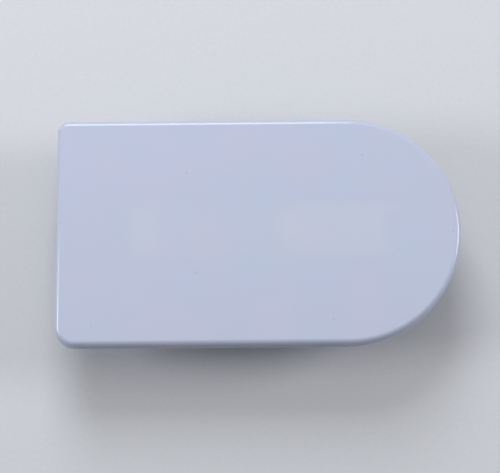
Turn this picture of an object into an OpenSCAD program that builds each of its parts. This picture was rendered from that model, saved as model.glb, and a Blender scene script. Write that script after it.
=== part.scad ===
// Icing smoother: a moulded plate with a rounded edge, and a hollow arch handle in two mouldings.
// The tool lies as it is laid down to dry, sole face up (+Z) and standing on the handle's crest.
// The origin is on the crest, under the middle of the plate. +X points to the round end.

/* [Sole plate] */
// Length over the lip, from the square end to the round end
plate_len = 150; // [130:1:200]
// Width over the lip
plate_w = 85; // [70:1:110]
// Height of the whole tool, from the handle's crest to the sole face
total_h = 30; // [28:1:45]
// Height of the plate's edge
edge_h = 7; // [6:0.5:9]
// Thickness of the web behind the sole face
web_t = 2.5; // [2.2:0.1:3]
// Thickness of the rim wall round the back
rim_t = 2.2; // [1.6:0.1:2.4]
// Radius of the rounded edge round the sole face
sole_edge_r = 2.1; // [1.2:0.1:2.2]
// How far the lip at the foot of the rim stands out
lip_out = 0.4; // [0.2:0.05:0.45]
// Height of the lip
lip_h = 1; // [0.6:0.1:1.5]
// Radius of the tighter corner of the square end, on the +Y side
tight_corner_r = 4.4; // [4:0.1:12]
// Radius of the easier corner of the square end, on the -Y side
easy_corner_r = 7.6; // [4:0.1:12]

/* [Handle] */
// Rear face of the rear foot where it meets the plate
rear_foot_x = -47; // [-60:1:-40]
// Length of the rear foot along the plate
rear_foot_len = 10; // [8:0.5:14]
// Front face of the front foot where it meets the plate
front_foot_x = 46; // [40:1:55]
// Length of the front foot along the plate
front_foot_len = 39.5; // [30:0.5:42]
// Width of the rear foot
rear_foot_w = 16; // [14:0.5:20]
// Width of the grip
grip_w = 20; // [18:0.5:24]
// Width of the front foot
front_foot_w = 18; // [17:0.5:22]
// Thickness of the grip, from crest to finger side
grip_t = 9; // [9:0.5:11]
// Thickness of the handle's walls
wall = 2; // [1.6:0.1:2.2]
// Radius of the bend at the rear, on the crest side
rear_bend_r = 13; // [10:0.5:15]
// Radius of the bend at the front, on the crest side
front_bend_r = 41; // [30:1:45]
// Slope of the front face above the plate, in degrees
front_slope = 52; // [48:1:60]

/* [Hidden] */

plastic_colour = [0.90, 0.91, 0.96];
handle_colour = [0.93, 0.93, 0.96];

// Plate: the semicircular end, and the band that carries the rounded edge and the rim
round_r = plate_w / 2;
round_x = plate_len / 2 - round_r;
square_x = -plate_len / 2;
root_r = 0.8;
band_w = lip_out + rim_t + root_r;
rim_foot_z = total_h - edge_h;
back_z = total_h - web_t;
arc_fn = 96;
small_fn = 48;
touch = 0.01;

// Seats that the feet stand on, and the plugs that reach up inside the feet
seat_h = 0.8;
seat_margin = 1.2;
plug_h = 2.5;
plug_gap = 0.3;
seat_z = back_z - seat_h;

// Draft of the legs, and how far the front foot's inner wall leans back
leg_draft = 3;
front_lean = 11;
rear_inner_r = 6.5;
front_inner_r = 7;

// Corner radii of the handle's section, on the crest side and on the finger side
crest_r = 3.6;
finger_r = 3.2;
bullet_r = 8.4;

// Parting line between the two mouldings
split_above_corner = 0.4;
lap = 1.2;
lap_gap = 0.08;

// How many sections each stretch of the handle takes, and points round each corner
leg_n = 4;
bend_n = 12;
grip_n = 8;
front_n = 16;
foot_n = 6;
corner_n = 7;

// Outline of the plate, drawn in by a distance all round
module outline(inset) {
    back_y = plate_w / 2 - inset;
    left_x = square_x + inset;
    tight_r = tight_corner_r - inset;
    easy_r = easy_corner_r - inset;
    translate([round_x, 0])
        circle(r = round_r - inset, $fn = arc_fn);
    translate([left_x + easy_r, -back_y])
        square([round_x - left_x - easy_r, 2 * back_y]);
    translate([left_x, -back_y + easy_r])
        square([easy_r + touch, 2 * back_y - easy_r - tight_r]);
    translate([left_x + tight_r, 0])
        square([easy_r, back_y]);
    translate([left_x + tight_r, back_y - tight_r])
        circle(r = tight_r, $fn = small_fn);
    translate([left_x + easy_r, -back_y + easy_r])
        circle(r = easy_r, $fn = small_fn);
}

// Section of the plate's edge: x is the distance in from the lip, y is the height above the rim's foot
module edge_section() {
    fillet_across = lip_out + sole_edge_r;
    web_up = edge_h - web_t;
    intersection() {
        translate([fillet_across, edge_h - sole_edge_r])
            circle(r = sole_edge_r, $fn = small_fn);
        translate([lip_out, edge_h - sole_edge_r])
            square(sole_edge_r);
    }
    translate([fillet_across, web_up])
        square([band_w - fillet_across, web_t]);
    translate([lip_out, 0])
        square([rim_t, edge_h - sole_edge_r]);
    square([lip_out + touch, lip_h]);
    difference() {
        translate([lip_out + rim_t - touch, web_up - root_r])
            square([root_r + touch, root_r + touch]);
        translate([lip_out + rim_t + root_r, web_up - root_r])
            circle(r = root_r, $fn = small_fn);
    }
}

// The edge section turned through an arc of the outline with the radius r
module edge_arc(r, angle) {
    rotate_extrude(angle = angle, $fn = arc_fn)
        translate([r, 0])
            mirror([1, 0])
                edge_section();
}

// The edge section run straight for a length along +Y, with the lip on the +X side
module edge_run(length) {
    translate([0, length, 0])
        rotate([90, 0, 0])
            linear_extrude(length)
                mirror([1, 0])
                    edge_section();
}

module edge_band() {
    tight_x = square_x + tight_corner_r;
    easy_x = square_x + easy_corner_r;
    tight_y = plate_w / 2 - tight_corner_r;
    easy_y = plate_w / 2 - easy_corner_r;
    translate([round_x, 0, 0])
        rotate(-90)
            edge_arc(round_r, 180);
    translate([round_x, plate_w / 2, 0])
        rotate(90)
            edge_run(round_x - tight_x);
    translate([tight_x, tight_y, 0])
        rotate(90)
            edge_arc(tight_corner_r, 90);
    translate([square_x, tight_y, 0])
        rotate(180)
            edge_run(tight_y + easy_y);
    translate([easy_x, -easy_y, 0])
        rotate(180)
            edge_arc(easy_corner_r, 90);
    translate([easy_x, -plate_w / 2, 0])
        rotate(-90)
            edge_run(round_x - easy_x);
}

// A box from x0 to x1 with corners of radius r0 at x0 and r1 at x1
module foot_outline(x0, x1, w, r0, r1) {
    translate([x0 + r0, -w / 2])
        square([x1 - x0 - r0 - r1, w]);
    translate([x0, -w / 2 + r0])
        square([r0 + touch, w - 2 * r0]);
    translate([x1 - r1 - touch, -w / 2 + r1])
        square([r1 + touch, w - 2 * r1]);
    for (side = [-1, 1]) {
        translate([x0 + r0, side * (w / 2 - r0)])
            circle(r = r0, $fn = small_fn);
        translate([x1 - r1, side * (w / 2 - r1)])
            circle(r = r1, $fn = small_fn);
    }
}

// A raised seat on the back of the web, with a plug that the hollow foot slips over
module foot_seat(x0, x1, w, r0, r1, slope_run) {
    m = seat_margin;
    p = wall + plug_gap;
    translate([0, 0, seat_z])
        linear_extrude(seat_h + touch)
            foot_outline(x0 - m, x1 + m, w + 2 * m, r0 + m, r1 + m);
    translate([0, 0, seat_z - plug_h])
        linear_extrude(plug_h + touch)
            foot_outline(x0 + p + slope_run[0], x1 - p - slope_run[1], w - 2 * p, r0 - p, r1 - p);
}

module sole_plate() {
    rear_run = plug_h * tan(leg_draft);
    front_run = plug_h / tan(front_slope);
    lean_run = plug_h * tan(front_lean);
    color(plastic_colour) {
        translate([0, 0, rim_foot_z])
            edge_band();
        translate([0, 0, back_z])
            linear_extrude(web_t)
                outline(band_w);
        foot_seat(rear_foot_x, rear_foot_x + rear_foot_len, rear_foot_w, crest_r, finger_r,
            [rear_run, rear_run]);
        foot_seat(front_foot_x - front_foot_len, front_foot_x, front_foot_w, bullet_r, crest_r,
            [lean_run, front_run]);
    }
}

// Points along an arc in the X-Z plane, after its first one
function arc(cx, cz, r, from, to, n) =
    [for (i = [1:n]) let (a = from + (to - from) * i / n) [cx + r * cos(a), cz + r * sin(a)]];

// Points along a straight line, after its first one
function run(p, q, n) = [for (i = [1:n]) p + (q - p) * i / n];

// Crest side of the handle, from the rear foot over the crest to the front foot
function crest_path() =
    let (
        r = rear_bend_r,
        start = [rear_foot_x, seat_z],
        t_z = r - r * sin(leg_draft),
        t_x = rear_foot_x + (seat_z - t_z) * tan(leg_draft),
        rear_cx = t_x + r * cos(leg_draft),
        f = front_bend_r,
        f_z = f - f * cos(front_slope),
        f_x = front_foot_x - (seat_z - f_z) / tan(front_slope),
        front_cx = f_x - f * sin(front_slope)
    )
    concat(
        [start],
        run(start, [t_x, t_z], leg_n),
        arc(rear_cx, r, r, 180 + leg_draft, 270, bend_n),
        run([rear_cx, 0], [front_cx, 0], grip_n),
        arc(front_cx, f, f, 270, 270 + front_slope, front_n),
        run([f_x, f_z], [front_foot_x, seat_z], foot_n)
    );

// Finger side of the handle, paired point by point with the crest side
function finger_path() =
    let (
        r = rear_inner_r,
        cz = grip_t + r,
        x0 = rear_foot_x + rear_foot_len,
        t_z = cz + r * sin(leg_draft),
        t_x = x0 - (seat_z - t_z) * tan(leg_draft),
        rear_cx = t_x + r * cos(leg_draft),
        f = front_inner_r,
        fz = grip_t + f,
        x1 = front_foot_x - front_foot_len,
        f_z = fz + f * sin(front_lean),
        f_x = x1 + (seat_z - f_z) * tan(front_lean),
        front_cx = f_x - f * cos(front_lean)
    )
    concat(
        [[x0, seat_z]],
        run([x0, seat_z], [t_x, t_z], leg_n),
        arc(rear_cx, cz, r, 180 - leg_draft, 270, bend_n),
        run([rear_cx, grip_t], [front_cx, grip_t], grip_n),
        arc(front_cx, fz, f, 270, 360 + front_lean, front_n),
        run([f_x, f_z], [x1, seat_z], foot_n)
    );

function ease(t) = t * t * (3 - 2 * t);
function mix(a, b, t) = a + (b - a) * t;

// A value along the handle: its rear foot's, its grip's and its front foot's
function along(i, rear, grip, front) =
    let (
        rear_end = leg_n + bend_n,
        front_start = rear_end + grip_n,
        last = front_start + front_n + foot_n
    )
    i < rear_end ? mix(rear, grip, ease(i / rear_end))
    : i > front_start ? mix(grip, front, ease((i - front_start) / (last - front_start)))
    : grip;

// Points round one corner of a section: s runs from the finger side to the crest side
function corner(s, y, r, from, to) =
    [for (j = [0:corner_n])
        let (a = from + (to - from) * j / corner_n)
        [s + r * cos(a), y + r * sin(a)]];

// Section of the shell: crest and side walls, with a rebate at the parting line
function shell_section(t, hw, rf, rc) =
    let (s = rf + split_above_corner, y = hw - rc, c = t - rc, r = rc - wall, half = wall / 2)
    concat(
        [[s, hw]], corner(c, y, rc, 90, 0), corner(c, -y, rc, 0, -90), [[s, -hw]],
        [[s, half - hw], [s + lap, half - hw], [s + lap, wall - hw]],
        corner(c, -y, r, -90, 0), corner(c, y, r, 0, 90),
        [[s + lap, hw - wall], [s + lap, hw - half], [s, hw - half]]
    );

// Section of the liner: the finger side, with a tongue that fits the shell's rebate
function liner_section(t, hw, rf, rc) =
    let (
        s = rf + split_above_corner,
        y = hw - rf,
        r = rf - wall,
        k = hw - wall / 2 - lap_gap,
        e = s + lap - lap_gap
    )
    concat(
        [[s, -hw]], corner(rf, -y, rf, -90, -180), corner(rf, y, rf, 180, 90), [[s, hw]],
        [[s, k], [e, k], [e, hw - wall]],
        corner(rf, y, r, 90, 180), corner(rf, -y, r, 180, 270),
        [[e, wall - hw], [e, -k], [s, -k]]
    );

// A section placed between a point on the finger side and its pair on the crest side
function place(section, finger, crest) =
    let (u = (crest - finger) / norm(crest - finger))
    [for (p = section) [finger[0] + p[0] * u[0], p[1], finger[1] + p[0] * u[1]]];

// Every section of one moulding, along the whole handle
function sections(liner) =
    let (finger = finger_path(), crest = crest_path())
    [for (i = [0:len(crest) - 1])
        let (
            t = norm(crest[i] - finger[i]),
            hw = along(i, rear_foot_w, grip_w, front_foot_w) / 2,
            rf = along(i, finger_r, finger_r, bullet_r)
        )
        place(
            liner ? liner_section(t, hw, rf, crest_r) : shell_section(t, hw, rf, crest_r),
            finger[i], crest[i]
        )];

// Triangles that close the end of a section, in the order of its points: pairs round the two corners,
// then the rebated or tongued stretch at each side of the parting line
function cap_triangles(liner) =
    let (q = 2 * (corner_n + 1), a = 2 * q + 4)
    concat(
        [for (j = [0:q - 2]) each [[1 + j, 2 + j, a - 1 - j], [1 + j, a - 1 - j, a - j]]],
        liner
        ? [[0, 1, a], [0, a, a + 3], [a, a + 1, a + 3], [a + 1, a + 2, a + 3],
           [q, q + 1, q + 5], [q + 1, q + 2, q + 5], [q + 2, q + 4, q + 5], [q + 2, q + 3, q + 4]]
        : [[0, 1, a + 2], [0, a + 2, a + 3], [1, a, a + 1], [1, a + 1, a + 2],
           [q, q + 1, q + 3], [q + 1, q + 2, q + 3], [q, q + 3, q + 4], [q, q + 4, q + 5]]
    );

// A closed skin through rings of points, with a flat cap at each end
module loft(rings, cap) {
    n = len(rings[0]);
    last = (len(rings) - 1) * n;
    end_cap = [for (f = cap) [last + f[2], last + f[1], last + f[0]]];
    walls = [for (i = [0:len(rings) - 2], j = [0:n - 1])
        let (k = (j + 1) % n, a = i * n, b = a + n)
        each [[a + j, b + j, a + k], [a + k, b + j, b + k]]];
    polyhedron(
        points = [for (ring = rings) each ring],
        faces = concat(cap, end_cap, walls),
        convexity = 8
    );
}

module handle_shell() {
    color(handle_colour)
        loft(sections(false), cap_triangles(false));
}

module handle_liner() {
    color(handle_colour)
        loft(sections(true), cap_triangles(true));
}

sole_plate();
handle_shell();
handle_liner();
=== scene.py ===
"""Icing smoother, lying sole face up on the crest of its handle: a plate and a handle in two mouldings."""
import math

import bmesh
import bpy
from mathutils import Matrix, Vector

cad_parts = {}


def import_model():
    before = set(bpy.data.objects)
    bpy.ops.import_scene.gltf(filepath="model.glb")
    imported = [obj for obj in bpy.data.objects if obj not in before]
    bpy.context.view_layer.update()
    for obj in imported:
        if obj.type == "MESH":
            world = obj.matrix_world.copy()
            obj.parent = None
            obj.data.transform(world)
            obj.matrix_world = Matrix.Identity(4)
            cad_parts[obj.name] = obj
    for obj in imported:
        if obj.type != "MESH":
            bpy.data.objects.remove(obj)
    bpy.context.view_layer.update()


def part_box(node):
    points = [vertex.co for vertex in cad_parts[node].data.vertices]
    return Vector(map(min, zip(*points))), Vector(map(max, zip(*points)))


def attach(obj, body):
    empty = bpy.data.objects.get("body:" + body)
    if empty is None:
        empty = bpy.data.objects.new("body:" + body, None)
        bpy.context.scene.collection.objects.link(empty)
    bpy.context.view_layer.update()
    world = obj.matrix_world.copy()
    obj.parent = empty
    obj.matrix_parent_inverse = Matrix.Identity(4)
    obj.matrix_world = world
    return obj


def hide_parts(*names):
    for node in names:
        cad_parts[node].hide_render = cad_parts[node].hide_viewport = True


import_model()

MM = 0.001

# Places that the frame gives
PLATE_LOW, PLATE_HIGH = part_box("sole_plate")
SHELL_LOW, SHELL_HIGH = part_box("handle_shell")
SOLE_Z = PLATE_HIGH[2]
SEAT_Z = SHELL_HIGH[2]
REAR_FOOT_X = SHELL_LOW[0]
FRONT_FOOT_X = SHELL_HIGH[0]
GRIP_WIDTH = SHELL_HIGH[1] - SHELL_LOW[1]

# Plate
EDGE_HEIGHT = 7 * MM
WEB = 2.5 * MM
RIM = 2.2 * MM
ROOT_RADIUS = 0.8 * MM
SOLE_EDGE_RADIUS = 2.1 * MM
LIP_OUT = 0.4 * MM
LIP_HEIGHT = 1 * MM
TIGHT_CORNER = 4.4 * MM
EASY_CORNER = 7.6 * MM
SMALL_BREAK = 0.12 * MM

# Steps round the plate's corners and its round end, across its rounded edges, and round the seats
CORNER_TURN_STEPS = 20
ROUND_END_STEPS = 64
SOLE_EDGE_STEPS = 10
ROOT_STEPS = 5
BREAK_STEPS = 2
SEAT_STEPS = 10

# Feet, seats and plugs
REAR_FOOT_LENGTH = 10 * MM
FRONT_FOOT_LENGTH = 39.5 * MM
REAR_FOOT_WIDTH = 16 * MM
FRONT_FOOT_WIDTH = 18 * MM
SEAT_MARGIN = 1.2 * MM
PLUG_HEIGHT = 2.5 * MM
PLUG_GAP = 0.3 * MM
SUNK_IN_WEB = 0.2 * MM

# Handle
GRIP_THICKNESS = 9 * MM
WALL = 2 * MM
REAR_BEND = 13 * MM
FRONT_BEND = 41 * MM
REAR_INNER_BEND = 6.5 * MM
FRONT_INNER_BEND = 7 * MM
FRONT_SLOPE = math.radians(52)
LEG_DRAFT = math.radians(3)
FRONT_LEAN = math.radians(11)
CREST_RADIUS = 3.6 * MM
FINGER_RADIUS = 3.2 * MM
BULLET_RADIUS = 8.4 * MM
SPLIT_ABOVE_CORNER = 0.4 * MM
LAP = 1.2 * MM
LAP_GAP = 0.08 * MM
PARTING_CHAMFER = 0.16 * MM

# Sections along each stretch of the handle, and points round each corner
LEG_STEPS = 8
BEND_STEPS = 24
GRIP_STEPS = 8
FRONT_STEPS = 32
FOOT_STEPS = 12
CORNER_STEPS = 9

# Edges that turn more than this stay crisp
SHARP_ANGLE = math.radians(40)

# Closer than this, two heights or two points are the same
SAME = 1e-6

# Finishes
ABS_IOR = 1.54
PLATE_ROUGHNESS = 0.18
HANDLE_ROUGHNESS = 0.42
PLATE_COOL = "#BFC9DF"
PLATE_WARM = "#C5C8DF"
# Painted light: the colour the web turns where the handle backs it, for light scattered through the
# translucent plastic
WEB_PAINTED_LIGHT = "#D6D7DD"
HANDLE_COOL = "#C4CBDF"
HANDLE_WARM = "#C9CBDF"
CLOUD_SIZE = 22 * MM
PLATE_GRAIN = 0.5 * MM
PLATE_GRAIN_DEPTH = 0.003 * MM
PLATE_WAVES = 30 * MM
HANDLE_GRAIN = 0.35 * MM
HANDLE_GRAIN_DEPTH = 0.02 * MM
HANDLE_WAVES = 25 * MM
ROUGHNESS_SPREAD = 0.06
# How strong and how soft that painted light is, under the grip and overall
GRIP_PAINTED_LIGHT = 0.5
PAINTED_LIGHT_SHARE = 0.16
PAINTED_LIGHT_BLUR = 3 * MM
BULLET_TIP = 12 * MM
SPECK_SPACING = 45 * MM
SPECK_RADIUS = 0.35 * MM
SPECK_COLOUR = "#8E93A8"

# Studio
FLOOR_HALF = 3
FLOOR_DARKER = "#D6D8DC"
FLOOR_LIGHTER = "#DFE0E4"
FLOOR_BOUNCE = "#B0B2B8"
FAR_COLOUR = "#E3E5E9"
FAR_START = 0.2
FAR_END = 0.9
PAPER_FIBRE = 1.5 * MM
ROOM_COLOUR = "#F2F4FA"
ROOM_STRENGTH = 0.18

# Softboxes: azimuth and elevation in degrees, distance and width in metres, power in watts, colour.
# Azimuth 0 is behind the plate's far edge, and 90 is at its round end.
SOFTBOXES = {
    "back": (-10, 42, 0.9, 0.45, 4.4, "#F8FBFF"),
    "overhead": (0, 75, 1.0, 0.9, 0.9, "#FFFFFF"),
    "left": (-92, 30, 0.9, 0.3, 2.7, "#FFFFFF"),
    "right": (82, 30, 0.9, 0.3, 2.7, "#FFFFFF"),
}

# Camera, as the plate's outline in the photograph gives it
IMAGE_WIDTH = 500
FOCAL_PIXELS = 1400
SENSOR_WIDTH = 36
CAMERA_DISTANCE = 514 * MM
CAMERA_TILT = math.radians(10.6)
CAMERA_ROLL = math.radians(-0.51)
AIM = Vector((-3.2 * MM, -2.3 * MM, SOLE_Z))


# Handle profiles, in pairs of finger-side and crest-side points

def arc(centre, radius, start, end, steps):
    """Points along an arc in the X-Z plane, after its first one."""
    angles = [start + (end - start) * i / steps for i in range(1, steps + 1)]
    return [(centre[0] + radius * math.cos(a), centre[1] + radius * math.sin(a)) for a in angles]


def run(start, end, steps):
    """Points along a straight line, after its first one."""
    return [(start[0] + (end[0] - start[0]) * i / steps, start[1] + (end[1] - start[1]) * i / steps)
            for i in range(1, steps + 1)]


def crest_path():
    """The handle's outer profile, from the rear foot over the crest to the front foot."""
    start, end = (REAR_FOOT_X, SEAT_Z), (FRONT_FOOT_X, SEAT_Z)
    leg_z = REAR_BEND - REAR_BEND * math.sin(LEG_DRAFT)
    leg_x = start[0] + (SEAT_Z - leg_z) * math.tan(LEG_DRAFT)
    rear_x = leg_x + REAR_BEND * math.cos(LEG_DRAFT)
    slope_z = FRONT_BEND - FRONT_BEND * math.cos(FRONT_SLOPE)
    slope_x = end[0] - (SEAT_Z - slope_z) / math.tan(FRONT_SLOPE)
    front_x = slope_x - FRONT_BEND * math.sin(FRONT_SLOPE)
    down = math.radians(270)
    return ([start] + run(start, (leg_x, leg_z), LEG_STEPS)
            + arc((rear_x, REAR_BEND), REAR_BEND, math.pi + LEG_DRAFT, down, BEND_STEPS)
            + run((rear_x, 0), (front_x, 0), GRIP_STEPS)
            + arc((front_x, FRONT_BEND), FRONT_BEND, down, down + FRONT_SLOPE, FRONT_STEPS)
            + run((slope_x, slope_z), end, FOOT_STEPS))


def finger_path():
    """The profile of the finger gap, paired point by point with the crest's."""
    start = (REAR_FOOT_X + REAR_FOOT_LENGTH, SEAT_Z)
    end = (FRONT_FOOT_X - FRONT_FOOT_LENGTH, SEAT_Z)
    rear_z = GRIP_THICKNESS + REAR_INNER_BEND
    leg_z = rear_z + REAR_INNER_BEND * math.sin(LEG_DRAFT)
    leg_x = start[0] - (SEAT_Z - leg_z) * math.tan(LEG_DRAFT)
    rear_x = leg_x + REAR_INNER_BEND * math.cos(LEG_DRAFT)
    front_z = GRIP_THICKNESS + FRONT_INNER_BEND
    lean_z = front_z + FRONT_INNER_BEND * math.sin(FRONT_LEAN)
    lean_x = end[0] + (SEAT_Z - lean_z) * math.tan(FRONT_LEAN)
    front_x = lean_x - FRONT_INNER_BEND * math.cos(FRONT_LEAN)
    down = math.radians(270)
    return ([start] + run(start, (leg_x, leg_z), LEG_STEPS)
            + arc((rear_x, rear_z), REAR_INNER_BEND, math.pi - LEG_DRAFT, down, BEND_STEPS)
            + run((rear_x, GRIP_THICKNESS), (front_x, GRIP_THICKNESS), GRIP_STEPS)
            + arc((front_x, front_z), FRONT_INNER_BEND, down, 2 * math.pi + FRONT_LEAN, FRONT_STEPS)
            + run((lean_x, lean_z), end, FOOT_STEPS))


def along(step, rear, grip, front):
    """A value at a step of the handle, eased from its rear foot's to its grip's and its front foot's."""
    rear_end = LEG_STEPS + BEND_STEPS
    front_start = rear_end + GRIP_STEPS
    last = front_start + FRONT_STEPS + FOOT_STEPS
    if step < rear_end:
        t, start, end = step / rear_end, rear, grip
    else:
        t, start, end = max(0, step - front_start) / (last - front_start), grip, front
    return start + (end - start) * t * t * (3 - 2 * t)


def corner(s, y, radius, start, end):
    """Points round one corner of a section: s runs from the finger side to the crest side."""
    angles = [math.radians(start + (end - start) * i / CORNER_STEPS) for i in range(CORNER_STEPS + 1)]
    return [(s + radius * math.cos(a), y + radius * math.sin(a)) for a in angles]


def shell_section(thickness, half, finger_r, crest_r):
    """Crest and side walls, with a rebate and a broken edge at the parting line."""
    s, b = finger_r + SPLIT_ABOVE_CORNER, PARTING_CHAMFER
    c, y, r = thickness - crest_r, half - crest_r, crest_r - WALL
    step = half - WALL / 2
    side = [(s, step), (s, half - b), (s + b, half)]
    outer = side + corner(c, y, crest_r, 90, 0) + corner(c, -y, crest_r, 0, -90)
    outer += [(p[0], -p[1]) for p in reversed(side)]
    inner = [(s + LAP, -step), (s + LAP, WALL - half)] + corner(c, -y, r, -90, 0) + corner(c, y, r, 0, 90)
    return outer + inner + [(s + LAP, half - WALL), (s + LAP, step)]


def liner_section(thickness, half, finger_r, crest_r):
    """The finger side, with a tongue that laps inside the shell and a broken edge at the parting line."""
    s, b = finger_r + SPLIT_ABOVE_CORNER, PARTING_CHAMFER
    y, r = half - finger_r, finger_r - WALL
    tongue, end = half - WALL / 2 - LAP_GAP, s + LAP - LAP_GAP
    side = [(s, -tongue), (s, b - half), (s - b, -half)]
    outer = side + corner(finger_r, -y, finger_r, -90, -180) + corner(finger_r, y, finger_r, 180, 90)
    outer += [(p[0], -p[1]) for p in reversed(side)]
    inner = [(end, tongue), (end, half - WALL)] + corner(finger_r, y, r, 90, 180)
    inner += corner(finger_r, -y, r, 180, 270) + [(end, WALL - half), (end, -tongue)]
    return outer + inner


# Mesh making

def place(section, finger, crest):
    """A section set between a point of the finger side and its pair on the crest side."""
    way = Vector((crest[0] - finger[0], 0, crest[1] - finger[1])).normalized()
    return [Vector((finger[0], 0, finger[1])) + way * s + Vector((0, y, 0)) for s, y in section]


def ring_of_edges(bm, points):
    """A closed loop of edges through points."""
    verts = [bm.verts.new(p) for p in points]
    return [bm.edges.new((verts[i - 1], verts[i])) for i in range(len(verts))]


def lofted(section):
    """A moulding whose section is bridged along the handle's two profiles, and closed at both feet."""
    bm = bmesh.new()
    rings = []
    for i, (finger, crest) in enumerate(zip(finger_path(), crest_path())):
        thickness = math.dist(finger, crest)
        half = along(i, REAR_FOOT_WIDTH, GRIP_WIDTH, FRONT_FOOT_WIDTH) / 2
        finger_r = along(i, FINGER_RADIUS, FINGER_RADIUS, BULLET_RADIUS)
        outline = section(thickness, half, finger_r, CREST_RADIUS)
        rings.append(ring_of_edges(bm, place(outline, finger, crest)))
    for near, far in zip(rings, rings[1:]):
        bmesh.ops.bridge_loops(bm, edges=near + far)
    for end in (rings[0], rings[-1]):
        bmesh.ops.edgeloop_fill(bm, edges=end)
    bmesh.ops.recalc_face_normals(bm, faces=bm.faces)
    return bm


def rounded_face(bm, x0, x1, half, z, corners):
    """A flat face with each corner rounded: radii and steps for (x0, -y), (x1, -y), (x1, +y) and (x0, +y)."""
    places = [(x0, -half), (x1, -half), (x1, half), (x0, half)]
    verts = [bm.verts.new((x, y, z)) for x, y in places]
    bm.faces.new(verts)
    for vert, (radius, steps) in zip(verts, corners):
        bmesh.ops.bevel(bm, geom=[vert], offset=radius, segments=steps, profile=0.5, affect="VERTICES",
                        material=-1)
    bmesh.ops.remove_doubles(bm, verts=[v for v in bm.verts if abs(v.co.z - z) < SAME], dist=SAME)


def flat_face(bm, z):
    """The largest flat face at a height."""
    level = [f for f in bm.faces if all(abs(v.co.z - z) < SAME for v in f.verts)]
    return max(level, key=lambda f: f.calc_area())


def raised(bm, face, height):
    """Extrudes a face straight up or down and returns the face at the far end. Only a lone face also stays
    where it was, as the other end of the body."""
    alone = all(len(edge.link_faces) == 1 for edge in face.edges)
    made = bmesh.ops.extrude_face_region(bm, geom=[face])["geom"]
    bmesh.ops.translate(bm, vec=(0, 0, height), verts=[g for g in made if isinstance(g, bmesh.types.BMVert)])
    if not alone:
        bmesh.ops.delete(bm, geom=[face], context="FACES_ONLY")
    return next(g for g in made if isinstance(g, bmesh.types.BMFace))


def break_edges(bm, edges, radius, steps):
    """Rounds a loop of edges."""
    bmesh.ops.bevel(bm, geom=list(edges), offset=radius, segments=steps, profile=0.5, affect="EDGES",
                    material=-1, clamp_overlap=False)


def plate_body():
    """The plate's moulding: lip, wall, rounded sole edge, and the open back inside the rim."""
    bm = bmesh.new()
    foot_z = SOLE_Z - EDGE_HEIGHT
    half = PLATE_HIGH[1]
    corners = [(EASY_CORNER, CORNER_TURN_STEPS), (half, ROUND_END_STEPS), (half, ROUND_END_STEPS),
               (TIGHT_CORNER, CORNER_TURN_STEPS)]
    rounded_face(bm, PLATE_LOW[0], PLATE_HIGH[0], half, foot_z, corners)
    ledge = raised(bm, flat_face(bm, foot_z), LIP_HEIGHT)
    bmesh.ops.recalc_face_normals(bm, faces=bm.faces)
    bmesh.ops.inset_region(bm, faces=[ledge], thickness=LIP_OUT, use_even_offset=True)
    sole = raised(bm, ledge, EDGE_HEIGHT - LIP_HEIGHT)
    foot = flat_face(bm, foot_z)
    bmesh.ops.inset_region(bm, faces=[foot], thickness=LIP_OUT + RIM, use_even_offset=True)
    back = raised(bm, flat_face(bm, foot_z), EDGE_HEIGHT - WEB)
    bmesh.ops.recalc_face_normals(bm, faces=bm.faces)
    root_edges = list(back.edges)
    break_edges(bm, sole.edges, SOLE_EDGE_RADIUS, SOLE_EDGE_STEPS)
    break_edges(bm, root_edges, ROOT_RADIUS, ROOT_STEPS)
    rim_foot = [e for e in bm.edges if all(abs(v.co.z - foot_z) < SAME for v in e.verts)]
    break_edges(bm, rim_foot, SMALL_BREAK, BREAK_STEPS)
    return bm


def foot_seat(bm, x0, x1, width, radii, runs):
    """A raised seat on the back of the web, and the plug that a hollow foot slips over."""
    inset = WALL + PLUG_GAP
    web_z = SOLE_Z - WEB
    blocks = ((-SEAT_MARGIN, (0, 0), web_z + SUNK_IN_WEB, SEAT_Z),
              (inset, runs, SEAT_Z + SUNK_IN_WEB, SEAT_Z - PLUG_HEIGHT))
    for drawn, run_in, top_z, low_z in blocks:
        rear, front = ((radius - drawn, SEAT_STEPS) for radius in radii)
        block = bmesh.new()
        rounded_face(block, x0 + drawn + run_in[0], x1 - drawn - run_in[1], width / 2 - drawn, top_z,
                     [rear, front, front, rear])
        low = raised(block, flat_face(block, top_z), low_z - top_z)
        bmesh.ops.recalc_face_normals(block, faces=block.faces)
        break_edges(block, low.edges, SMALL_BREAK, BREAK_STEPS)
        mesh = bpy.data.meshes.new("block")
        block.to_mesh(mesh)
        block.free()
        bm.from_mesh(mesh)
        bpy.data.meshes.remove(mesh)


def sole_plate_mesh():
    """The whole plate, with the seats and plugs for both feet."""
    bm = plate_body()
    rear_run = PLUG_HEIGHT * math.tan(LEG_DRAFT)
    front_runs = (PLUG_HEIGHT * math.tan(FRONT_LEAN), PLUG_HEIGHT / math.tan(FRONT_SLOPE))
    foot_seat(bm, REAR_FOOT_X, REAR_FOOT_X + REAR_FOOT_LENGTH, REAR_FOOT_WIDTH,
              (CREST_RADIUS, FINGER_RADIUS), (rear_run, rear_run))
    foot_seat(bm, FRONT_FOOT_X - FRONT_FOOT_LENGTH, FRONT_FOOT_X, FRONT_FOOT_WIDTH,
              (BULLET_RADIUS, CREST_RADIUS), front_runs)
    return bm


def finished(bm, name, material, node):
    """Makes a mesh object of a moulding, smooth but for its real edges, and ties it to the frame."""
    for face in bm.faces:
        face.smooth = True
    for edge in bm.edges:
        edge.smooth = edge.is_manifold and edge.calc_face_angle() < SHARP_ANGLE
    mesh = bpy.data.meshes.new(name)
    bm.to_mesh(mesh)
    bm.free()
    piece = bpy.data.objects.new(name, mesh)
    bpy.context.scene.collection.objects.link(piece)
    piece.data.materials.append(material)
    weighted = piece.modifiers.new("Flat faces stay flat", "WEIGHTED_NORMAL")
    weighted.keep_sharp = True
    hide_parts(node)
    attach(piece, "root")
    return piece


# Materials

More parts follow.
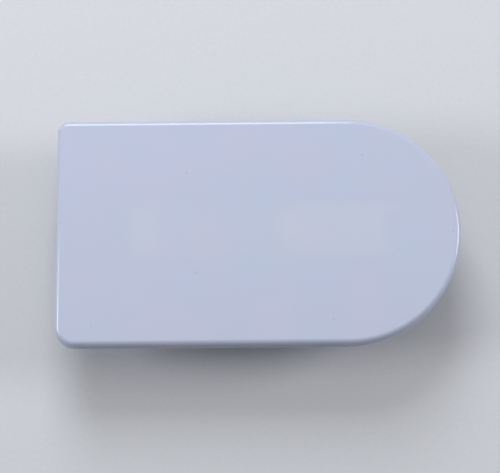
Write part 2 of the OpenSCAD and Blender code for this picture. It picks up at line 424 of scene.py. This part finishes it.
def linear(hex_colour):
    """An sRGB hex colour as linear RGBA."""
    parts = [int(hex_colour[i:i + 2], 16) / 255 for i in (1, 3, 5)]
    return tuple(c / 12.92 if c <= 0.04045 else ((c + 0.055) / 1.055) ** 2.4 for c in parts) + (1,)


def add(tree, kind, settings=None, links=None):
    """Adds a node, sets its properties or socket values, and links named sockets to it."""
    node = tree.nodes.new(kind)
    for name, value in (settings or {}).items():
        if isinstance(name, str) and hasattr(node, name) and name not in node.inputs:
            setattr(node, name, value)
        else:
            node.inputs[name].default_value = value
    for name, source in (links or {}).items():
        tree.links.new(source, node.inputs[name])
    return node


def eased(tree, source, start, end):
    """0 at start to 1 at end, eased, for a length in metres."""
    return add(tree, "ShaderNodeMapRange",
               {"interpolation_type": "SMOOTHSTEP", "From Min": start, "From Max": end},
               {"Value": source}).outputs[0]


def times(tree, a, b):
    """The product of two sockets."""
    return add(tree, "ShaderNodeMath", {"operation": "MULTIPLY"}, {0: a, 1: b}).outputs[0]


def painted_light_patch(tree, x, across, x0, x1, half):
    """A soft patch of painted light where the handle backs the web behind the sole, for light scattered
    through the web.
    """
    b = PAINTED_LIGHT_BLUR
    patch = times(tree, eased(tree, x, x0 - b, x0 + b), eased(tree, x, x1 + b, x1 - b))
    return times(tree, patch, eased(tree, across, half + b, half - b))


def base_material(name, roughness, ior):
    """An empty material with its shader, and the tree to build on."""
    material = bpy.data.materials.new(name)
    material.use_nodes = True
    tree = material.node_tree
    shader = tree.nodes["Principled BSDF"]
    shader.inputs["Roughness"].default_value = roughness
    shader.inputs["IOR"].default_value = ior
    return material, tree, shader


def moulded_surface(tree, shader, place_socket, grain, depth, waves):
    """The skin of a moulding: a fine grain from the tool steel, and the slow waves of sink behind it."""
    fine = add(tree, "ShaderNodeTexNoise", {"Scale": 1 / grain, "Detail": 3.0, "Roughness": 0.6},
               {"Vector": place_socket}).outputs[0]
    slow = add(tree, "ShaderNodeTexNoise", {"Scale": 1 / waves, "Detail": 1.0},
               {"Vector": place_socket}).outputs[0]
    fine_bump = add(tree, "ShaderNodeBump", {"Strength": 0.25, "Distance": depth},
                    {"Height": fine}).outputs[0]
    bump = add(tree, "ShaderNodeBump", {"Strength": 0.5, "Distance": depth * 8},
               {"Height": slow, "Normal": fine_bump}).outputs[0]
    tree.links.new(bump, shader.inputs["Normal"])
    return fine


def polished_abs():
    """Moulded ABS from a polished tool: even and cool white, with soft gloss. To the eye it has the faintest
    cloudiness and a few dust specks, and painted light: a slightly lighter patch where the handle backs the
    thin web, for light that scatters through it."""
    material, tree, shader = base_material("moulded_ABS_polished", PLATE_ROUGHNESS, ABS_IOR)
    place_socket = add(tree, "ShaderNodeTexCoord").outputs["Object"]
    parts = add(tree, "ShaderNodeSeparateXYZ", links={"Vector": place_socket})
    x, y = parts.outputs[0], parts.outputs[1]
    across = add(tree, "ShaderNodeMath", {"operation": "ABSOLUTE"}, {0: y}).outputs[0]
    cloud = add(tree, "ShaderNodeTexNoise", {"Scale": 1 / CLOUD_SIZE, "Detail": 2.0, "Roughness": 0.5},
                {"Vector": place_socket}).outputs[0]
    tint = add(tree, "ShaderNodeValToRGB", links={"Fac": cloud})
    tint.color_ramp.elements[0].position, tint.color_ramp.elements[1].position = 0.3, 0.7
    tint.color_ramp.elements[0].color = linear(PLATE_COOL)
    tint.color_ramp.elements[1].color = linear(PLATE_WARM)
    bowed = add(tree, "ShaderNodeMath", {"operation": "MULTIPLY_ADD", 1: -1 / BULLET_TIP},
                {0: times(tree, across, across), 2: x}).outputs[0]
    # Painted light: the web is made lighter where the handle's feet and grip back it
    rear = painted_light_patch(tree, x, across, REAR_FOOT_X, REAR_FOOT_X + REAR_FOOT_LENGTH, REAR_FOOT_WIDTH / 2)
    front = painted_light_patch(tree, bowed, across, FRONT_FOOT_X - FRONT_FOOT_LENGTH, FRONT_FOOT_X,
                       FRONT_FOOT_WIDTH / 2)
    grip = painted_light_patch(tree, x, across, REAR_FOOT_X, FRONT_FOOT_X, GRIP_WIDTH / 2)
    feet = add(tree, "ShaderNodeMath", {"operation": "ADD"}, {0: rear, 1: front}).outputs[0]
    painted_light_through = add(tree, "ShaderNodeMath", {"operation": "MULTIPLY_ADD", 1: GRIP_PAINTED_LIGHT},
                        {0: grip, 2: feet}).outputs[0]
    share = add(tree, "ShaderNodeMath", {"operation": "MULTIPLY", 1: PAINTED_LIGHT_SHARE},
                {0: painted_light_through}).outputs[0]
    lighter = add(tree, "ShaderNodeMixRGB", {"Color2": linear(WEB_PAINTED_LIGHT)},
                  {"Fac": share, "Color1": tint.outputs[0]})
    dust = add(tree, "ShaderNodeTexVoronoi", {"voronoi_dimensions": "2D", "Scale": 1 / SPECK_SPACING},
               {"Vector": place_socket})
    speck = eased(tree, dust.outputs["Distance"], SPECK_RADIUS / SPECK_SPACING, 0)
    specked = add(tree, "ShaderNodeMixRGB", {"Color2": linear(SPECK_COLOUR)},
                  {"Fac": speck, "Color1": lighter.outputs[0]})
    tree.links.new(specked.outputs[0], shader.inputs["Base Color"])
    moulded_surface(tree, shader, place_socket, PLATE_GRAIN, PLATE_GRAIN_DEPTH, PLATE_WAVES)
    return material


def satin_abs():
    """Moulded ABS from a finely spark-finished tool: a softer gloss that doesn't show finger marks."""
    material, tree, shader = base_material("moulded_ABS_satin", HANDLE_ROUGHNESS, ABS_IOR)
    place_socket = add(tree, "ShaderNodeTexCoord").outputs["Object"]
    cloud = add(tree, "ShaderNodeTexNoise", {"Scale": 1 / CLOUD_SIZE, "Detail": 2.0},
                {"Vector": place_socket})
    tint = add(tree, "ShaderNodeValToRGB", links={"Fac": cloud.outputs[0]})
    tint.color_ramp.elements[0].color = linear(HANDLE_COOL)
    tint.color_ramp.elements[1].color = linear(HANDLE_WARM)
    tree.links.new(tint.outputs[0], shader.inputs["Base Color"])
    grain = moulded_surface(tree, shader, place_socket, HANDLE_GRAIN, HANDLE_GRAIN_DEPTH, HANDLE_WAVES)
    rough = add(tree, "ShaderNodeMapRange",
                {"To Min": HANDLE_ROUGHNESS - ROUGHNESS_SPREAD,
                 "To Max": HANDLE_ROUGHNESS + ROUGHNESS_SPREAD},
                {"Value": grain})
    tree.links.new(rough.outputs[0], shader.inputs["Roughness"])
    return material


def seen_directly(tree):
    """1 for the camera and for what mirrors or passes its rays, 0 for light that bounces."""
    rays = add(tree, "ShaderNodeLightPath").outputs
    first = add(tree, "ShaderNodeMath", {"operation": "MAXIMUM"},
                {0: rays["Is Camera Ray"], 1: rays["Is Glossy Ray"]}).outputs[0]
    return add(tree, "ShaderNodeMath", {"operation": "MAXIMUM"},
               {0: first, 1: rays["Is Transmission Ray"]}).outputs[0]


def floor_paper():
    """Matt studio paper: pale, without gloss, with a trace of fibre. It throws little light back up, and it
    fades into the room's colour far from the object."""
    material, tree, shader = base_material("studio_paper", 0.9, 1.4)
    shader.inputs["Specular IOR Level"].default_value = 0
    place_socket = add(tree, "ShaderNodeTexCoord").outputs["Object"]
    fibre = add(tree, "ShaderNodeTexNoise", {"Scale": 1 / PAPER_FIBRE, "Detail": 4.0},
                {"Vector": place_socket})
    tint = add(tree, "ShaderNodeValToRGB", links={"Fac": fibre.outputs[0]})
    tint.color_ramp.elements[0].color = linear(FLOOR_DARKER)
    tint.color_ramp.elements[1].color = linear(FLOOR_LIGHTER)
    seen = seen_directly(tree)
    colour = add(tree, "ShaderNodeMixRGB", {"Color1": linear(FLOOR_BOUNCE)},
                 {"Fac": seen, "Color2": tint.outputs[0]})
    tree.links.new(colour.outputs[0], shader.inputs["Base Color"])
    away = add(tree, "ShaderNodeVectorMath", {"operation": "LENGTH"}, {0: place_socket}).outputs["Value"]
    far = times(tree, eased(tree, away, FAR_START, FAR_END), seen)
    glow = add(tree, "ShaderNodeEmission", {"Color": linear(FAR_COLOUR)})
    mixed = add(tree, "ShaderNodeMixShader", links={0: far, 1: shader.outputs[0], 2: glow.outputs[0]})
    tree.links.new(mixed.outputs[0], tree.nodes["Material Output"].inputs["Surface"])
    return material


# Studio

def floor():
    """A pale floor under the handle's crest."""
    bm = bmesh.new()
    bmesh.ops.create_grid(bm, x_segments=1, y_segments=1, size=FLOOR_HALF)
    mesh = bpy.data.meshes.new("floor")
    bm.to_mesh(mesh)
    bm.free()
    sheet = bpy.data.objects.new("floor", mesh)
    bpy.context.scene.collection.objects.link(sheet)
    sheet.data.materials.append(floor_paper())


def softbox(name, azimuth, elevation, distance, size, power, colour):
    """A square area lamp that looks at the tool."""
    a, e = math.radians(azimuth), math.radians(elevation)
    way = Vector((math.sin(a) * math.cos(e), math.cos(a) * math.cos(e), math.sin(e)))
    lamp = bpy.data.lights.new(name, "AREA")
    lamp.shape = "SQUARE"
    lamp.size = size
    lamp.energy = power
    lamp.color = linear(colour)[:3]
    holder = bpy.data.objects.new(name, lamp)
    holder.location = way * distance
    holder.rotation_euler = way.to_track_quat("Z", "Y").to_euler()
    bpy.context.scene.collection.objects.link(holder)


def world():
    """An even grey room that the camera sees as pale."""
    room = bpy.data.worlds.new("room")
    bpy.context.scene.world = room
    room.use_nodes = True
    tree = room.node_tree
    background = tree.nodes["Background"]
    seen = seen_directly(tree)
    colour = add(tree, "ShaderNodeMixRGB",
                 {"Color1": linear(ROOM_COLOUR), "Color2": linear(FAR_COLOUR)}, {"Fac": seen})
    strength = add(tree, "ShaderNodeMapRange", {"To Min": ROOM_STRENGTH, "To Max": 1.0},
                   {"Value": seen})
    tree.links.new(colour.outputs[0], background.inputs["Color"])
    tree.links.new(strength.outputs[0], background.inputs["Strength"])


def camera():
    """The photograph's view: nearly straight down on the sole, from the front long edge's side."""
    lens = bpy.data.cameras.new("camera")
    lens.sensor_width = SENSOR_WIDTH
    lens.lens = SENSOR_WIDTH * FOCAL_PIXELS / IMAGE_WIDTH
    holder = bpy.data.objects.new("camera", lens)
    turn = Matrix.Rotation(CAMERA_TILT, 4, "X") @ Matrix.Rotation(CAMERA_ROLL, 4, "Z")
    holder.matrix_world = Matrix.Translation(AIM + turn.to_3x3() @ Vector((0, 0, CAMERA_DISTANCE))) @ turn
    bpy.context.scene.collection.objects.link(holder)
    bpy.context.scene.camera = holder


bpy.context.scene.view_settings.view_transform = "Standard"
camera()
world()
floor()
for lamp_name, setting in SOFTBOXES.items():
    softbox(lamp_name, *setting)

handle_plastic = satin_abs()
finished(sole_plate_mesh(), "sole_plate_moulding", polished_abs(), "sole_plate")
finished(lofted(shell_section), "handle_shell_moulding", handle_plastic, "handle_shell")
finished(lofted(liner_section), "handle_liner_moulding", handle_plastic, "handle_liner")
